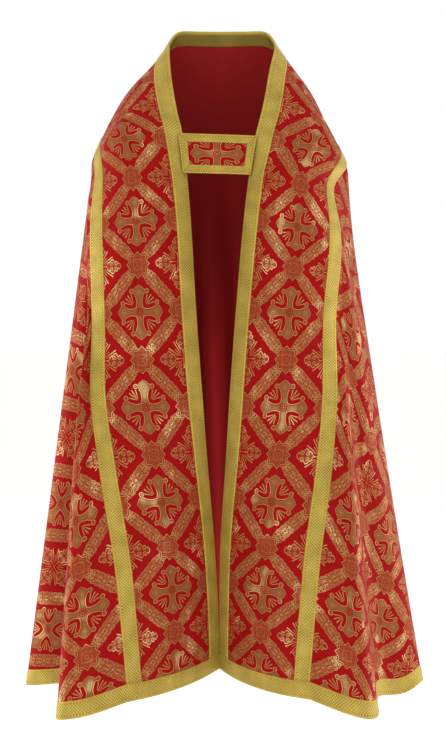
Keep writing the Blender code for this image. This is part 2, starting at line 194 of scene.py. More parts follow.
FLOOR_HEIGHT = -1.45  # where the wearer would stand
LIGHTS = [  # name, place, where it points, width across, power
    ("key", (-1.6, -3.2, 1.6), (0.0, 0.0, -0.5), 2.0, 8.0),
    ("fill", (2.0, -3.0, 0.6), (0.0, 0.0, -0.5), 2.0, 5.0),
    ("low", (-0.5, -3.0, -1.2), (0.0, 0.0, -1.2), 1.0, 7.0),
    ("rim_right", (-2.6, 0.6, -0.6), (0.0, 0.0, -0.9), 1.4, 40.0),
    ("rim_left", (2.6, 0.6, -0.6), (0.0, 0.0, -0.9), 1.4, 34.0),
    ("back", (0.0, 3.0, 1.0), (0.0, 0.0, -0.5), 2.0, 12.0),
    ("inside_high", (0.0, -0.10, -0.65), (0.0, 0.3, -0.65), 0.2, 0.4),
    ("inside_low", (0.0, -0.10, -1.05), (0.0, 0.3, -1.05), 0.2, 0.6),
]

UP = np.array((0.0, 0.0, 1.0))


def curve(at, knots, values):
    """A smooth curve through the values at the knots, read at each place."""
    values = np.asarray(values, float)
    knots = np.asarray(knots, float)
    slopes = np.gradient(values, knots, axis=0)
    at = np.asarray(at, float)
    left = np.clip(np.searchsorted(knots, at, side="right") - 1, 0, len(knots) - 2)
    span = knots[left + 1] - knots[left]
    t = ((at - knots[left]) / span)[..., None]
    span = span[..., None]
    return (
        (1 + 2 * t) * (1 - t) ** 2 * values[left]
        + t * (1 - t) ** 2 * span * slopes[left]
        + t**2 * (3 - 2 * t) * values[left + 1]
        - t**2 * (1 - t) * span * slopes[left + 1]
    )


def section_table():
    """The sections from the wearer's right hem corner round the nape to the left one."""
    back = np.array(BACK_SECTIONS)
    right = np.vstack([back[1:], RIGHT_SECTIONS])[::-1] * (-1, -1, 1, 1, -1, 1, 1, 1)
    return np.vstack([right, back[:1], back[1:], LEFT_SECTIONS])


SECTIONS = section_table()


def unit(vectors):
    return vectors / np.linalg.norm(vectors, axis=-1, keepdims=True)


def band(along, across):
    """A point of the band beside the straight edge, bowed so that each section keeps its width."""
    rows = curve(along, SECTIONS[:, ALONG], SECTIONS)
    edge, outer = rows[..., EDGE], rows[..., OUTER]
    ahead = curve(np.asarray(along) + 1e-3, SECTIONS[:, ALONG], SECTIONS)[..., EDGE]
    chord = outer - edge
    reach = np.linalg.norm(chord, axis=-1, keepdims=True)
    outward = unit(np.cross(ahead - edge, chord))
    upward = unit(UP - chord * chord[..., 2:] / reach**2)
    lift = np.radians(rows[..., LIFT])
    bow = unit(outward * np.cos(lift) + upward * np.sin(lift))
    slack = np.clip(BAND_WIDTH / reach - 1, 0, None)
    sag = reach * np.sqrt(3 / 8 * slack)
    part = (np.asarray(across) / BAND_WIDTH)[..., None]
    return edge + chord * part + bow * sag * 4 * part * (1 - part)


def hem_radius(angle):
    return curve(angle, HEM_CUT[:, HEM_ANGLE], HEM_CUT[:, HEM_RADIUS:])[..., 0]


def hem_along(across, side):
    """Where the hem meets the line at this distance across, on the wearer's right or left."""
    along = np.full_like(np.asarray(across, float), 1.45)
    for _ in range(8):
        angle = np.degrees(np.arctan2(across, side * along))
        along = np.sqrt(hem_radius(angle) ** 2 - np.square(across))
    return side * along


def flute_folds():
    """The fold lines round the back: each flute is a bight of cloth whose heading swings evenly."""
    fine = 16
    along = np.arange(BACK_FLUTES * FLUTE_LINES * fine + 1) / (FLUTE_LINES * fine)
    heading = np.radians(FLUTE_SWING) * np.sin(2 * np.pi * (along[:-1] + along[1] / 2))
    sideways = np.append(0.0, np.cumsum(np.cos(heading)))[::fine]
    outward = np.append(0.0, np.cumsum(np.sin(heading)))[::fine]
    sideways, outward = sideways / sideways[-1], outward / outward.max()
    steps = np.linspace(0, 1, len(sideways))
    turn = np.radians(FLUTE_ARC[0] + (FLUTE_ARC[1] - FLUTE_ARC[0]) * sideways**FLUTE_SPREAD)
    reach = 1 - FLUTE_DEPTH * (1 - outward)
    return np.column_stack([
        FLUTE_LEAVES[0] + (FLUTE_LEAVES[1] - FLUTE_LEAVES[0]) * steps,
        FLUTE_ANGLES[0] + (FLUTE_ANGLES[1] - FLUTE_ANGLES[0]) * steps,
        BACK_HALF_WIDTH * reach * np.cos(turn),
        BACK_DEPTH * reach * np.sin(turn),
        1 + BIAS_STRETCH * np.cos(turn) ** 2,
    ])


FOLDS = np.vstack([RIGHT_FOLDS, flute_folds(), LEFT_FOLDS])


def fall(fold, part):
    """A point on the cloth below the band: on this fold line, at this part of its length."""
    fold, part = np.broadcast_arrays(np.asarray(fold, float), np.asarray(part, float))
    rows = curve(fold, np.arange(len(FOLDS)), FOLDS)
    angle = np.radians(rows[..., ANGLE])
    leaves = rows[..., LEAVES]
    radius = hem_radius(rows[..., ANGLE])
    flat = np.stack([-radius * np.cos(angle) - leaves, radius * np.sin(angle) - BAND_WIDTH], -1)
    length = np.linalg.norm(flat, axis=-1, keepdims=True)
    heading = flat / length
    start = band(leaves, BAND_WIDTH)
    small = 1e-3
    along = unit(band(leaves + small, BAND_WIDTH) - start)
    across = unit(start - band(leaves, BAND_WIDTH - small))
    leaving = heading[..., :1] * along + heading[..., 1:] * across
    length = length * rows[..., STRETCH]
    bend = np.minimum(BEND, 0.6 * length)
    plan = (rows[..., PLAN] - start[..., :2] - leaving[..., :2] * bend / 2) / (length - bend / 2)
    drop = np.sqrt(np.clip(1 - np.sum(plan**2, axis=-1, keepdims=True), 0.01, None))
    hanging = np.concatenate([plan, -drop], axis=-1)
    run = part[..., None] * length
    turned = np.clip(run / bend, 0, 1)
    settled = bend * (turned**3 - turned**4 / 2) + np.clip(run - bend, 0, None)
    return start + leaving * (run - settled) + hanging * settled


def relaxed(points, cut, parts, front):
    """The fall with the smallest folds of its fronts eased out, as stiff brocade eases them."""
    made = np.empty_like(points)
    for row, down in enumerate(parts.mean(axis=0)):
        reach = EASE_LEAST + EASE * front[:, None] * (1 + EASE_AT_TOP * (1 - down) ** 4)
        line = points[:, row]
        steps = np.linalg.norm(np.diff(cut[:, row], axis=0), axis=1)
        run = np.append(0.0, np.cumsum(steps))
        places = np.concatenate([-run[:0:-1], run, 2 * run[-1] - run[-2::-1]])
        reflected = np.vstack([2 * line[0] - line[:0:-1], line, 2 * line[-1] - line[-2::-1]])
        weights = np.exp(-(((run[:, None] - places) / reach) ** 2)) * np.gradient(places)
        made[:, row] = weights @ reflected / weights.sum(axis=1, keepdims=True)
    return made


def hem_row(start, end):
    """Places down a line of the cloth, the last of them across the hem galloon."""
    length = abs(end - start)
    body = np.linspace(0, length - HEM_GALLOON, BODY_ROWS)
    down = np.append(body, length - HEM_GALLOON + HEM_GALLOON * BRAID_LINES[1:])
    return start + np.sign(end - start) * down


def below_band():
    """The cloth below the band as a grid: where each column leaves the band, its points, its cut."""
    last = len(FOLDS) - 1
    first_flute, last_flute = len(RIGHT_FOLDS), last - len(LEFT_FOLDS)
    folds = np.concatenate([
        np.linspace(0, first_flute, FRONT_STEPS * first_flute + 1),
        np.linspace(first_flute, last_flute, FLUTE_STEPS * (last_flute - first_flute) + 1)[1:],
        np.linspace(last_flute, last, FRONT_STEPS * (last - last_flute) + 1)[1:],
    ])
    rows = curve(folds, np.arange(len(FOLDS)), FOLDS)
    leaves, angle = rows[:, LEAVES], np.radians(rows[:, ANGLE])
    radius = hem_radius(rows[:, ANGLE])
    flat = np.stack([-radius * np.cos(angle) - leaves, radius * np.sin(angle) - BAND_WIDTH], -1)
    length = np.linalg.norm(flat, axis=1)
    parts = np.array([hem_row(0.0, each) / each for each in length])
    points = fall(folds[:, None], parts)
    cut = np.stack([leaves, np.full_like(leaves, BAND_WIDTH)], -1)[:, None] + flat[:, None] * parts[..., None]
    for side, column in ((-1, 0), (1, -1)):
        line = hem_row(leaves[column], hem_along(BAND_WIDTH, side))
        near = folds if side < 0 else last - folds
        fade = (np.clip(1 - near / FADE_FOLDS, 0, 1) ** 1.5)[:, None, None]
        points += fade * (band(line, BAND_WIDTH) - points[column])
        cut += fade * (np.stack([line, np.full_like(line, BAND_WIDTH)], -1) - cut[column])
    front = np.clip(2 - np.minimum(folds, last - folds) / FADE_FOLDS, 0, 1)
    return leaves, relaxed(points, cut, parts, front), cut


def cloth():
    """The whole cloak: its points, their places on the cut, and the band and the fall as grids."""
    leaves, below, below_cut = below_band()
    fall_grid = np.arange(below.shape[0] * below.shape[1]).reshape(below.shape[:2])
    lines, cuts = [], []
    for across in ACROSS[:-1]:
        right = hem_row(leaves[0], hem_along(across, -1))[:0:-1]
        left = hem_row(leaves[-1], hem_along(across, 1))[1:]
        along = np.concatenate([right, leaves, left])
        lines.append(band(along, across))
        cuts.append(np.stack([along, np.full_like(along, across)], -1))
    beside, beside_cut = np.stack(lines, axis=1), np.stack(cuts, axis=1)
    seam = np.concatenate([fall_grid[0, :0:-1], fall_grid[:, 0], fall_grid[-1, 1:]])
    band_grid = fall_grid.size + np.arange(beside[..., 0].size).reshape(beside.shape[:2])
    band_grid = np.column_stack([band_grid, seam])
    points = np.vstack([below.reshape(-1, 3), beside.reshape(-1, 3)]) + (0, 0, NAPE_HEIGHT)
    cut = np.vstack([below_cut.reshape(-1, 2), beside_cut.reshape(-1, 2)])
    return points, cut, band_grid[::-1], fall_grid[::-1]


def squares_of(grid):
    """The four-sided faces of a grid of point numbers, facing outward."""
    corners = (grid[:-1, :-1], grid[:-1, 1:], grid[1:, 1:], grid[1:, :-1])
    return np.stack(corners, axis=-1).reshape(-1, 4)


def outward_normals(points, squares):
    first, second, third, fourth = points[squares.T]
    square = np.cross(third - first, fourth - second)
    normals = np.zeros_like(points)
    for corner in range(4):
        np.add.at(normals, squares[:, corner], square)
    return unit(normals)


def creases(cut):
    """How far each soft ridge and trough lifts the cloth from its fall, at these places on the cut."""
    lift = np.zeros(len(cut))
    for start, end, width, height in CREASES:
        start, way = np.array(start), np.array(end) - start
        reach = np.linalg.norm(way)
        from_start = cut - start
        part = np.clip(from_start @ way / reach**2, 0, 1)
        aside = np.linalg.norm(from_start - part[:, None] * way, axis=1)
        lift += height * np.sin(np.pi * part) ** 0.8 * np.exp(-((aside / width) ** 2))
    return lift


def add_mesh(name, points, faces, places, finish, slot, *nodes):
    """A smooth mesh piece that carries its places on the cloth, for the weave."""
    mesh = bpy.data.meshes.new(name)
    mesh.from_pydata(points.tolist(), [], [list(face) for face in faces])
    held = mesh.attributes.new("cloth", "FLOAT_VECTOR", "POINT")
    flat = np.zeros((len(points), 3))
    flat[:, : places.shape[1]] = places
    held.data.foreach_set("vector", flat.ravel())
    mesh.shade_smooth()
    mesh.materials.append(finish)
    piece = bpy.data.objects.new(name, mesh)
    bpy.context.scene.collection.objects.link(piece)
    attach(piece, "root")
    if nodes:
        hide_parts(*nodes)
    return piece


def warped(along):
    """The place along the cloth in the weave's own repeats, which the loom spaced unevenly."""
    steps = np.interp(np.abs(along), REPEAT_PLACES, np.arange(len(REPEAT_PLACES)))
    return np.sign(along) * steps * HALF_REPEAT


def braid_loop(side):
    """Round the outline of a galloon's section: line of the grid, how far beyond it, and height."""
    count = len(BRAID_LINES) - 1
    full = BRAID_FACE
    face = [(line, 0.0, full - 0.0003 * (line in (1, count - 1)) - 0.0009 * (line == count))
            for line in range(count, 0, -1)]
    if side == "turned":
        face += [
            (0, 0.0002, full - 0.0002), (0, 0.0012, full - 0.0012), (0, 0.0014, -0.0006),
            (0, 0.0011, BRAID_IN_FACE + 0.0008), (0, 0.0, BRAID_IN_FACE),
            (3, 0.0, BRAID_IN_FACE + 0.0002), (3, 0.0, BRAID_IN_BACK),
            (0, -0.0002, BRAID_IN_BACK), (0, 0.0002, BRAID_BACK),
        ]
    else:
        face += [(0, 0.0, full - 0.0010), (0, 0.0, BRAID_BACK)]
    return face + [(count, 0.0, BRAID_BACK)]


def add_braid(name, points, normals, grid, loop, width, finish, *nodes):
    """A galloon sewn along a grid whose line 0 is at the cloth's edge, as one closed strip."""
    beyond = unit(points[grid[:, 0]] - points[grid[:, 2]])
    rings, places = [], []
    middle = points[grid[:, len(BRAID_LINES) // 2]]
    run = np.append(0.0, np.cumsum(np.linalg.norm(np.diff(middle, axis=0), axis=1)))
    for line, past, height in loop:
        at = grid[:, line]
        rings.append(points[at] + normals[at] * height + beyond * past)
        offset = width * (0.5 - BRAID_LINES[line]) + past
        if height < 0:
            offset = width * 0.5 + 0.003 - offset * 0.1
        places.append(np.stack([run, np.full_like(run, offset)], -1))
    stations, around = len(run), len(loop)
    ring_points = np.stack(rings, 1).reshape(-1, 3)
    numbers = np.arange(stations * around).reshape(stations, around)
    closed = np.column_stack([numbers, numbers[:, :1]])
    faces = squares_of(closed).tolist() + [numbers[0].tolist(), numbers[-1, ::-1].tolist()]
    places = np.stack(places, 1).reshape(-1, 2)
    return add_mesh(name, ring_points, faces, places, finish, "gold_galloon", *nodes)


def add_stitches(name, points, normals, pace, finish):
    """A row of short slanting stitches sunk into a line of the galloon."""
    run = np.append(0.0, np.cumsum(np.linalg.norm(np.diff(points, axis=0), axis=1)))
    mids = np.arange(pace, run[-1] - pace, pace)
    at = lambda where, values: np.stack([np.interp(where, run, values[:, k]) for k in range(3)], -1)
    start, end, mid = at(mids - pace * 0.36, points), at(mids + pace * 0.36, points), at(mids, points)
    up = unit(at(mids, normals))
    side = unit(np.cross(end - start, up)) * STITCH_WIDE
    high = up * STITCH_HIGH
    corners = np.stack([start - high * 0.4, mid - side - high * 0.1, mid + side - high * 0.1,
                        mid + high, end - high * 0.4], 1)
    count = len(mids)
    base = np.arange(count)[:, None] * 5
    faces = np.vstack([base + np.array(f) for f in ((0, 1, 3), (0, 3, 2), (1, 4, 3), (3, 4, 2))])
    return add_mesh(name, corners.reshape(-1, 3), faces, np.repeat(np.stack([mids, mids * 0], -1), 5, axis=0),
                    finish, "gold_galloon")


def edge_point(along, across):
    return band(np.array(along), np.array(across)) + (0.0, 0.0, NAPE_HEIGHT)


def morse_point(over, down, clear):
    """A point of the morse: over runs from its right end to its left, down from its top."""
    along = MORSE_ALONG[0] + (MORSE_ALONG[1] - MORSE_ALONG[0]) * down
    start, end = (edge_point(-along, MORSE_LAP_RIGHT), edge_point(along, MORSE_LAP_LEFT))
    front = min(start[1], edge_point(-along, 0.0)[1], end[1], edge_point(along, 0.0)[1])
    point = start + (end - start) * over
    point[1] = front - clear - MORSE_SWELL * 4 * over * (1 - over)
    return point


def slab(front, back):
    """A closed piece between two grids of points: its points and faces."""
    rows, columns = front.shape[:2]
    grid = np.arange(rows * columns).reshape(rows, columns)
    rim = np.concatenate([grid[0, :-1], grid[:-1, -1], grid[-1, :0:-1], grid[:0:-1, 0]])
    after = np.roll(rim, -1)
    behind = grid + grid.size
    sides = np.stack([after, rim, rim + grid.size, after + grid.size], -1)
    faces = np.vstack([squares_of(grid), squares_of(behind)[:, ::-1], sides])
    return np.vstack([front.reshape(-1, 3), back.reshape(-1, 3)]), faces


def add_morse_piece(name, corners, lines, height, clear, finish, slot, node, braid=None):
    """A four-sided piece of the morse. A braid's height is rounded down to its edges, and braid
    says which of its lines is the outer edge."""
    corners = np.array(corners, float)
    shares = np.concatenate([(0, 0.01), np.linspace(0.03, 0.97, MORSE_FINE), (0.99, 1)])
    front, back, places = [], [], []
    for share in shares:
        ends = corners[[0, 3]] * (1 - share) + corners[[1, 2]] * share
        for line in lines:
            over, down = ends[0] * (1 - line) + ends[1] * line
            edge = min(line, 1 - line, 0.05) / 0.05
            rise = height if braid is None else height * (0.35 + 0.65 * math.sin(math.pi / 2 * edge))
            front.append(morse_point(over, down, clear + rise))
            back.append(morse_point(over, down, clear))
            places.append(((over - 0.5) * MORSE_WIDTH, (down - 0.5) * MORSE_HEIGHT))
    shape = (len(shares), len(lines), 3)
    points, faces = slab(np.array(front).reshape(shape), np.array(back).reshape(shape))
    places = np.array(places)
    if braid is not None:
        flat = places.reshape(len(shares), len(lines), 2)
        run = (flat - flat[0, 0]) @ unit(flat[-1, 0] - flat[0, 0])
        aside = GALLOON / 2 - abs(np.array(lines) - braid) * MORSE_FRAME
        places = np.stack(np.broadcast_arrays(run, aside[None]), -1).reshape(-1, 2)
    else:
        places = places * MORSE_WEAVE + (HALF_REPEAT, STAR_LINE)
    return add_mesh(name, points, faces, np.tile(places, (2, 1)), finish, slot, node)


def add_morse(brocade, gold, thread):
    """The tab across the chest, of brocade in a frame of mitred galloon."""
    side, end = MORSE_FRAME / MORSE_WIDTH, MORSE_FRAME / MORSE_HEIGHT
    slit, gap = SEAM / MORSE_WIDTH, SEAM / MORSE_HEIGHT
    whole = ((0, 0), (1, 0), (1, 1), (0, 1))
    add_morse_piece(
        "morse_tab", whole, np.linspace(0, 1, 13), MORSE_TAB, MORSE_CLEAR, brocade, "brocade", "morse"
    )
    clear = MORSE_CLEAR + MORSE_TAB + 0.0002
    strips = {
        "top": (0, ((slit, 0), (1 - slit, 0), (1 - side - slit, end), (side + slit, end))),
        "bottom": (1, ((side + slit, 1 - end), (1 - side - slit, 1 - end), (1 - slit, 1), (slit, 1))),
        "right": (1, ((side, end + gap), (side, 1 - end - gap), (0, 1 - gap), (0, gap))),
        "left": (0, ((1, gap), (1, 1 - gap), (1 - side, 1 - end - gap), (1 - side, end + gap))),
    }
    for name, (outer, corners) in strips.items():
        add_morse_piece(
            "morse_braid_" + name, corners, BRAID_LINES, BRAID_THICK, clear, gold, "gold_galloon",
            "morse_galloon_" + name, braid=outer,
        )
        corners = np.array(corners, float)
        for share, word in ((MORSE_STITCH, "outer"), (1 - MORSE_STITCH, "inner")):
            first = corners[0] * (1 - share) + corners[3] * share
            last = corners[1] * (1 - share) + corners[2] * share
            ways = [first * (1 - k) + last * k for k in np.linspace(0, 1, 40)]
            line = np.array([morse_point(*way, clear + BRAID_THICK) for way in ways])
            forward = np.tile((0.0, -1.0, 0.0), (len(line), 1))
            add_stitches(f"morse_stitching_{name}_{word}", line, forward, STITCH_PACE, thread)


class Field:
    """A value over a surface, so that a weave reads as a formula."""

    def __init__(self, finish, socket):
        self.finish, self.socket = finish, socket

    def math(self, operation, *others):
        inputs = dict(enumerate((self, *others)))
        return self.finish.node("ShaderNodeMath", {"operation": operation}, inputs)

    def __add__(self, other):
        return self.math("ADD", other)

    def __sub__(self, other):
        return self.math("SUBTRACT", other)

    def __mul__(self, other):
        return self.math("MULTIPLY", other)

    def __truediv__(self, other):
        return self.math("DIVIDE", other)

    def __neg__(self):
        return self * -1.0

    def __rsub__(self, other):
        return -self + other

    def __abs__(self):
        return self.math("ABSOLUTE")

    __radd__, __rmul__ = __add__, __mul__

    def least(self, other):
        return self.math("MINIMUM", other)

    def most(self, other):
        return self.math("MAXIMUM", other)

    def part(self):
        return self.math("FRACT")

    def sine(self):
        return self.math("SINE")

    def cosine(self):
        return self.math("COSINE")

    def root(self):
        return self.most(0.0).math("SQRT")

    def within(self, reach, soft=0.0005):
        """1 where this is under the reach and 0 over it, with a soft edge."""
        settings = {"interpolation_type": "SMOOTHSTEP"}
        inputs = {0: self, 1: reach - soft, 2: reach + soft, 3: 1.0, 4: 0.0}
        return self.finish.node("ShaderNodeMapRange", settings, inputs)

    def beyond(self, reach, soft=0.0005):
        return 1 - self.within(reach, soft)

    def line(self, place, half, soft=0.0004):
        """1 on a line of that half-width where this equals the place."""
        return abs(self - place).within(half, soft)

    def blend(self, low, high):
        return low + (high - low) * self


class Finish:
    """One material, and the making of its nodes."""

    def __init__(self, name, **fixed):
        self.made = bpy.data.materials.new(name)
        self.made.use_nodes = True
        self.tree = self.made.node_tree
        self.shader = self.tree.nodes["Principled BSDF"]
        for socket, value in fixed.items():
            self.shader.inputs[socket.replace("_", " ").title().replace("Ior", "IOR")].default_value = value

    def node(self, kind, settings=None, inputs=None, output=0):
        made = self.tree.nodes.new(kind)
        for setting, value in (settings or {}).items():
            setattr(made, setting, value)
        for socket, value in (inputs or {}).items():
            if isinstance(value, Field):
                self.tree.links.new(value.socket, made.inputs[socket])
            else:
                made.inputs[socket].default_value = value
        return Field(self, made.outputs[output])

    def outline(self, value, stops):
        """A curve through stops of place and height, read at this value, all within 0 to 1."""
        made = self.tree.nodes.new("ShaderNodeValToRGB")
        ramp = made.color_ramp
        ramp.interpolation = "EASE"
        for _ in stops[2:]:
            ramp.elements.new(0.5)
        for element, (place, height) in zip(ramp.elements, stops):
            element.position = place
            element.color = (height, height, height, 1.0)
        self.tree.links.new(value.socket, made.inputs[0])
        return Field(self, made.outputs[0])

    def cloth_places(self):
        """The places along and across the cloth."""
        held = self.node("ShaderNodeAttribute", {"attribute_name": "cloth"}, output="Vector")
        apart = self.node("ShaderNodeSeparateXYZ", {}, {0: held})
        return held, apart, Field(self, apart.socket.node.outputs["Y"])

    def noise(self, place, scale, detail=2.0, stretch=(1.0, 1.0, 1.0)):
        moved = self.node("ShaderNodeVectorMath", {"operation": "MULTIPLY"}, {0: place, 1: stretch})
        return self.node("ShaderNodeTexNoise", {}, {"Vector": moved, "Scale": scale, "Detail": detail})

    def colours(self, factor, first, second):
        inputs = {0: factor, 6: first, 7: second}
        return self.node("ShaderNodeMix", {"data_type": "RGBA"}, inputs, output=2)

    def shine(self, **outputs):
        for socket, value in outputs.items():
            self.tree.links.new(value.socket, self.shader.inputs[socket.replace("_", " ")])

    def raised(self, height, distance, strength):
        inputs = {"Strength": strength, "Distance": distance, "Height": height}
        self.shine(Normal=self.node("ShaderNodeBump", {}, inputs))


def rgb(red, green, blue):
    """A colour as the eye names it, 0 to 255, in the light's own units."""
    shares = [value / 255 for value in (red, green, blue)]
    return tuple(s / 12.92 if s <= 0.04045 else ((s + 0.055) / 1.055) ** 2.4 for s in shares) + (1.0,)


def dimmed(colour, share):
    """The colour with this share of its light."""
    return tuple(value * share for value in colour[:3]) + (1.0,)


# The brocade's colours, and its rays: on a leaf or not, angle off the fan's middle, start, end, flare
RED_DEEP, RED_BRIGHT = rgb(132, 12, 13), rgb(160, 16, 18)
GOLD_DULL, GOLD_MIDDLE = rgb(108, 74, 38), rgb(146, 104, 58)
# The second gold on the next line is a painted highlight, for glints on the weft
GOLD_LINE, GOLD_PAINTED_GLINT = rgb(174, 138, 82), rgb(240, 224, 154)
# The galloon's first colour is painted shade for the weave's sunk threads, then its raised threads, then its
# chain
GALLOON_DEEP, GALLOON_BRIGHT, GALLOON_CHAIN = rgb(104, 79, 18), rgb(220, 194, 94), rgb(192, 138, 22)
DIAMOND, CHAIN_LINE, CHAIN_LINK = 0.0060, 0.0112, 0.0055  # the braid, from its middle
NECK_PAINTED_SHADE = 0.62  # how much of the galloon's tone is left inside the collar: painted shade, a darker copy of its colours
RAYS = (
    (False, 9.5, 0.0030, 0.0235, 0.042), (False, 30.0, 0.0040, 0.0205, 0.045),
    (True, 13.0, 0.0100, 0.0370, 0.030), (True, 0.0, 0.0060, 0.0240, 0.014),
    (True, 23.0, 0.0120, 0.0270, 0.017),
)


def brocade_finish():
    """Red satin with a lattice of filigree bands, stars, crosses and leaves in gold weft."""
    made = Finish("cope_brocade", specular_ior_level=0.03)
    held, along, across = made.cloth_places()
    # Both fold into a quarter of the repeat: a star at two corners, a cross and a rosette at the others
    quarter, half_repeat = REPEAT_ACROSS / 2, HALF_REPEAT
    x = abs(((across - STAR_LINE) / REPEAT_ACROSS + 0.5).part() - 0.5) * REPEAT_ACROSS
    y = abs((along / (2 * half_repeat) + 0.5).part() - 0.5) * (2 * half_repeat)
    slant = math.hypot(quarter, half_repeat)
    right, up = quarter / slant, half_repeat / slant
    aside = x * up - y * right
    run = x * right + y * up
    run = run.least(slant - run)
    off = abs(aside)
    # Band: straight beside the stars, swelling into scallops halfway between them
    swell = run.beyond(0.0300, 0.0060)
    scallop = abs((run * (math.pi / 0.0112)).sine())
    edge = 0.0094 + swell * (0.0018 + 0.0016 * scallop)
    inside = off - edge
    in_band = inside.within(0.0, 0.0004)
    rim = inside.line(-0.0008, 0.0005, 0.0004)
    spot = made.node("ShaderNodeCombineXYZ", inputs={0: run, 1: off})
    wander = made.noise(spot, 190.0, 0.0)
    scroll = abs((wander * 4.0).part() - 0.5).within(0.20, 0.05)
    filigree = scroll * inside.within(-0.0020)
    # Star: two squares one over the other, ringed, round a flower
    star = ((run + off) * math.sqrt(0.5) - 0.0176).least(run.most(off) - 0.0186)
    in_star = star.within(0.0)
    from_star = (run * run + off * off).root()
    turn = made.node("ShaderNodeMath", {"operation": "ARCTAN2"}, {0: off, 1: run})
    petals = (from_star - 0.0062 - 0.0022 * (turn * 8.0).cosine()).line(0.0, 0.0005)
    star_rim = star.line(-0.0008, 0.0007).most(star.line(-0.0044, 0.0004) * 0.7)
    dots = from_star.line(0.0106, 0.0007) * (turn * 16.0).cosine().beyond(0.1, 0.3)
    centre = from_star.line(0.0026, 0.0006)
    star_lines = star_rim.most(petals * 0.6).most(centre * 0.5).most(dots * 0.7)
    star_lines = star_lines.most(scroll * 0.5 * star.within(-0.0045) * from_star.beyond(0.0030))
    # Cell: its own corner as the centre, then arms by the longer and the shorter way
    leafy = aside.beyond(0.0, 0.0001)
    cx = leafy.blend(x, quarter - x)
    cy = leafy.blend(half_repeat - y, y)
    far, near = cx.most(cy), cx.least(cy)
    reach = (far * far + near * near).root()
    share = far / 0.06
    # Cross: half-widths of an arm, in fiftieths of a metre, then its knobs and point
    arm = made.outline(share, [
        (0.0, 0.45), (0.13, 0.42), (0.25, 0.34), (0.33, 0.33), (0.44, 0.40), (0.52, 0.50), (0.58, 0.60),
        (0.62, 0.78), (0.66, 0.70), (0.70, 0.58), (0.75, 0.42), (0.80, 0.20), (0.835, 0.0),
    ]) / 50.0
    cross = (arm - near).least(0.0503 - far).most(0.0098 - reach)
    knob = ((far - 0.0382) * (far - 0.0382) + (near - 0.0170) * (near - 0.0170)).root()
    cross = cross.most(0.0048 - knob)
    # Leaf of three lobes on a stalk
    leaf = made.outline(share, [
        (0.0, 0.03), (0.10, 0.03), (0.26, 0.06), (0.32, 0.34), (0.37, 0.50), (0.40, 0.44), (0.45, 0.66),
        (0.52, 0.74), (0.57, 0.58), (0.60, 0.42), (0.65, 0.54), (0.69, 0.48), (0.72, 0.28), (0.76, 0.36),
        (0.80, 0.22), (0.835, 0.0),
    ]) / 50.0
    leaf = (leaf - near).least(0.0505 - far)
    motif = leafy.blend(cross, leaf)
    in_motif = motif.beyond(0.0, 0.0003)
    motif_line = leafy.blend(motif.line(0.0009, 0.0007), motif.line(0.0012, 0.0009))
    heart = motif.beyond(0.0030, 0.0003)
    petal = made.node("ShaderNodeMath", {"operation": "ARCTAN2"}, {0: near, 1: far}) * 8.0
    flower = reach.line(0.0052, 0.0013) * petal.cosine().beyond(0.0, 0.4)
    flower = flower.most(reach.within(0.0018)).most(reach.line(0.0086, 0.0006))
    square = abs(far - 0.0362) + near
    gem = square.within(0.0060) * (1 - leafy)
    gem_lines = square.line(0.0049, 0.0007).most(square.within(0.0022)) * (1 - leafy)
    disc = reach.within(0.0092) * (1 - leafy)
    whorl_at = ((far / 0.0110).part() - 0.5) * 0.0110
    whorl = (whorl_at * whorl_at + (near - 0.0050) * (near - 0.0050)).root()
    veins = leafy * far.beyond(0.0190) * whorl.line(0.0030, 0.0007).most(whorl.within(0.0009))
    # Rays between the arms: those of a cross fan from its corner, those of a leaf from the middle
    fan_x = (far + near - 2 * 0.0125) * math.sqrt(0.5)
    fan_y = (far - near) * math.sqrt(0.5)
    fan_turn = made.node("ShaderNodeMath", {"operation": "ARCTAN2"}, {0: fan_y, 1: fan_x})
    fan_reach = (fan_x * fan_x + fan_y * fan_y).root()
    leaf_turn = made.node("ShaderNodeMath", {"operation": "ARCTAN2"}, {0: far - near, 1: far + near})
    fan_turn, fan_reach = leafy.blend(fan_turn, leaf_turn), leafy.blend(fan_reach, reach)
    rays = None
    for on_leaf, angle, inner, outer, flare in RAYS:
        beside = abs((fan_turn - math.radians(angle)).sine()) * fan_reach
        ray = (beside - flare * (fan_reach - inner)).within(0.0003, 0.0003)
        ray = ray * fan_reach.beyond(inner) * (fan_reach + beside * 0.8).within(outer) * fan_turn.within(1.2)
        ray = ray * (leafy if on_leaf else 1 - leafy)
        rays = ray if rays is None else rays.most(ray)
    rays = rays * (1 - in_motif) * (1 - in_band)
    # Gold that floats on the red
    in_lattice = in_band.most(in_star)
    lattice_lines = in_star.blend(rim.most(filigree), star_lines) * in_lattice
    cross_gold = motif_line.most(0.84 * heart) * (1 - gem) * (1 - disc)
    cross_gold = cross_gold.most(gem_lines).most(disc * flower)
    leaf_gold = motif_line.most(0.16 * heart).most(heart * veins * 0.8)
    motif_gold = leafy.blend(cross_gold, leaf_gold) * in_motif
    motif_lines = (motif_line * in_motif).most((gem_lines + veins) * in_motif * 0.8)
    sketched = (lattice_lines * 0.72).most(motif_lines).most(rays * 0.75)
    gilt = lattice_lines.most(in_lattice * 0.12).most(motif_gold).most(rays)
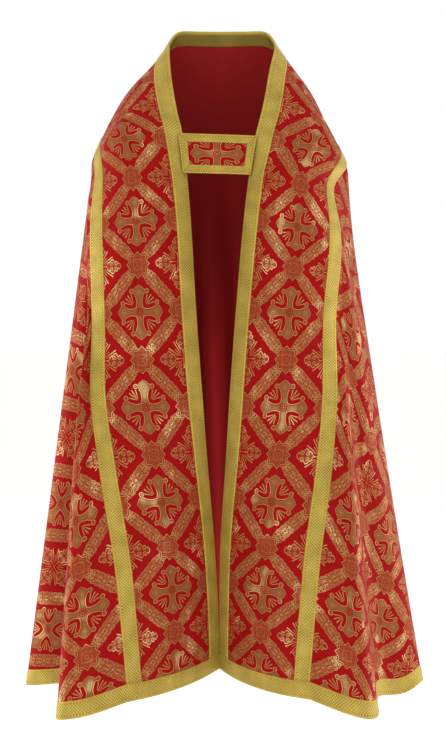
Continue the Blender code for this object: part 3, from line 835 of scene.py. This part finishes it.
    # Painted glints: the gold turns pale where the patch noise is high; the red deepens or brightens with it
    patch = made.noise(held, 15.0, 2.0, (1.0, 1.3, 1.0))
    painted_glint = patch.beyond(0.60, 0.08)
    thread = made.noise(held, 700.0, 1.0, (1.0, 0.3, 1.0))
    red = made.colours(patch, RED_DEEP, RED_BRIGHT)
    dull = made.colours(thread, GOLD_DULL, GOLD_MIDDLE)
    fine = made.colours(painted_glint, GOLD_LINE, GOLD_PAINTED_GLINT)
    gold = made.colours((sketched * 0.9).most(painted_glint * 0.40 * in_motif), dull, fine)
    made.shine(
        Base_Color=made.colours(gilt, red, gold),
        Metallic=gilt * 0.30,
        Roughness=0.52 - 0.12 * sketched,
    )
    weave = (along * (2 * math.pi / 0.0011)).sine() * (across * (2 * math.pi / 0.0011)).sine()
    made.raised(gilt * 0.8 + weave * 0.12, 0.0004, 0.4)
    return made.made


def galloon_finish(name, shade_share):
    """Gold braid: a diamond weave between chain lines, with plain selvages. A share under 1 darkens its
    colours as painted shade.
    """
    made = Finish(name, specular_ior_level=0.1)
    held, run, aside = made.cloth_places()
    off = abs(aside)
    one_way = abs(((run + aside) * (math.pi / DIAMOND)).sine())
    other_way = abs(((run - aside) * (math.pi / DIAMOND)).sine())
    diamonds = one_way.least(other_way).beyond(0.36, 0.26)
    centre = off.within(CHAIN_LINE - 0.0012, 0.0004)
    chain = off.line(CHAIN_LINE, 0.0009) * (run * (2 * math.pi / CHAIN_LINK)).sine().beyond(-0.5, 0.4)
    threads = 0.5 + 0.5 * (run * (2 * math.pi / 0.0012)).sine()
    selvage = off.beyond(CHAIN_LINE + 0.0012, 0.0004) * (0.50 + 0.25 * threads)
    height = centre * (0.75 * diamonds + 0.15 * threads) + chain + selvage
    patch = made.noise(held, 26.0, 3.0)
    # Painted shade: sunk threads of the weave darker, raised ones lighter; the patch noise varies it in broad
    # patches
    shade = (0.14 + height * 0.66 + (patch - 0.5) * 0.6).most(0.0).least(1.0)
    gold = made.colours(shade, dimmed(GALLOON_DEEP, shade_share), dimmed(GALLOON_BRIGHT, shade_share))
    made.shine(
        Base_Color=made.colours(chain * 0.8, gold, GALLOON_CHAIN),
        Metallic=0.18 + 0.10 * height.least(1.0),
        Roughness=0.52 - 0.12 * height.least(1.0),
    )
    made.raised(height, 0.0007, 0.7)
    return made.made


def lining_finish():
    """Dark red satin."""
    made = Finish("cope_lining", specular_ior_level=0.04)
    held, run, aside = made.cloth_places()
    patch = made.noise(held, 9.0, 3.0)
    ribs = ((run + aside) * (2 * math.pi / 0.0016)).sine()
    made.shine(
        Base_Color=made.colours(patch, rgb(142, 28, 28), rgb(156, 33, 33)), Roughness=0.62 + 0.10 * patch
    )
    made.raised(ribs, 0.0002, 0.25)
    return made.made


def thread_finish():
    """The sewing thread of the galloons."""
    made = Finish("cope_thread", specular_ior_level=0.5, metallic=0.2)
    _, run, _ = made.cloth_places()
    ply = 0.5 + 0.5 * (run * (2 * math.pi / 0.0009)).sine()
    made.shine(Base_Color=made.colours(ply, rgb(176, 146, 48), rgb(226, 202, 96)), Roughness=0.5 + 0.1 * ply)
    return made.made


def plain_finish(name, colour, roughness):
    """The floor's finish, barely mottled."""
    made = Finish(name)
    place = made.node("ShaderNodeTexCoord", output="Object")
    mottle = made.noise(place, 2.0)
    made.shine(
        Base_Color=made.colours(mottle, dimmed(colour, 0.985), colour), Roughness=mottle * 0.05 + roughness
    )
    return made.made


def add_room():
    """A pale floor under the hem, soft lights round the cloak, and the camera."""
    floor_finish = plain_finish("pale_floor", rgb(254, 254, 253), 0.7)
    bpy.ops.mesh.primitive_plane_add(size=40, location=(0, 4, FLOOR_HEIGHT))
    floor = bpy.context.object
    floor.name = "floor"
    floor.data.materials.append(floor_finish)
    world = bpy.data.worlds.new("soft_white")
    world.use_nodes = True
    world.node_tree.nodes["Background"].inputs["Color"].default_value = (1.0, 1.0, 1.0, 1.0)
    world.node_tree.nodes["Background"].inputs["Strength"].default_value = 1.01
    bpy.context.scene.world = world
    for name, place, target, size, power in LIGHTS:
        data = bpy.data.lights.new(name, "AREA")
        data.shape, data.size, data.energy = "DISK", size, power
        lamp = bpy.data.objects.new(name, data)
        lamp.location = place
        way = Vector(target) - Vector(place)
        lamp.rotation_euler = way.to_track_quat("-Z", "Y").to_euler()
        bpy.context.scene.collection.objects.link(lamp)
    camera = bpy.data.objects.new("camera", bpy.data.cameras.new("camera"))
    camera.data.lens, camera.data.sensor_width = 81.6, 36.0
    camera.location = (0.002, -3.5, -0.357)
    camera.rotation_euler = (math.radians(90 - 3.09), 0.0, 0.0)
    bpy.context.scene.collection.objects.link(camera)
    bpy.context.scene.camera = camera
    bpy.context.scene.view_settings.view_transform = "Standard"


def main():
    brocade, gold = brocade_finish(), galloon_finish("cope_galloon", 1.0)
    lining, thread = lining_finish(), thread_finish()
    # The galloon inside the collar is a darker copy of the gold: painted shade
    shaded = galloon_finish("cope_galloon_painted_shade", NECK_PAINTED_SHADE)
    points, cut, band_grid, fall_grid = cloth()
    squares = np.vstack([squares_of(band_grid), squares_of(fall_grid)])
    points = points + outward_normals(points, squares) * creases(cut)[:, None]
    normals = outward_normals(points, squares)
    places = np.stack([warped(cut[:, 0]), cut[:, 1]], -1)
    outside, within = points + normals * BROCADE_FACE, points + normals * LINING_FACE
    cloak = add_mesh("brocade_cloak", outside, squares, places, brocade, "brocade", "cope_body")
    inside = add_mesh("satin_lining", within, squares[:, ::-1], cut, lining, "lining", "lining")
    inset = len(BRAID_LINES) - 1
    hem = np.vstack([
        band_grid[: inset + 1, :-1].T,
        fall_grid[:, : -inset - 2 : -1],
        band_grid[: -inset - 2 : -1, :-1].T[::-1],
    ])
    edge = band_grid[inset:-inset, : inset + 1]
    outer = band_grid[inset:-inset, -2 : -inset - 3 : -1]
    turned, flat = braid_loop("turned"), braid_loop("flat")
    trims = [
        add_braid("hem_braid", points, normals, hem, turned, HEM_GALLOON, gold, "hem_galloon"),
        add_braid("edge_braid", points, normals, edge, turned, GALLOON, gold, "edge_galloon"),
        add_braid("outer_braid", points, normals, outer, flat, GALLOON, gold, "outer_galloon"),
    ]
    face = BRAID_FACE + 0.0001
    for name, grid in (("hem", hem), ("edge", edge), ("outer", outer)):
        for word, line in (("first", STITCH_LINE), ("second", inset - STITCH_LINE)):
            at = grid[:, line]
            trims.append(add_stitches(f"{name}_stitching_{word}", points[at] + normals[at] * face,
                                      normals[at], STITCH_PACE, thread))
    stations = band_grid[:, 0]
    near = np.abs(cut[stations, 0]) <= NECK_HALF
    neck = band_grid[near][:, : inset + 1]
    face_of_lining = -LINING_FACE
    neck_loop = [
        (line, 0.0, face_of_lining + (0.0003 if line in (0, inset) else 0.0013)) for line in range(inset + 1)
    ] + [(inset, 0.0, face_of_lining + 0.0001), (0, 0.0, face_of_lining + 0.0001)]
    trims.append(add_braid("neck_braid", points, -normals, neck, neck_loop, GALLOON, shaded, "neck_galloon"))
    add_morse(brocade, gold, thread)
    add_room()


main()
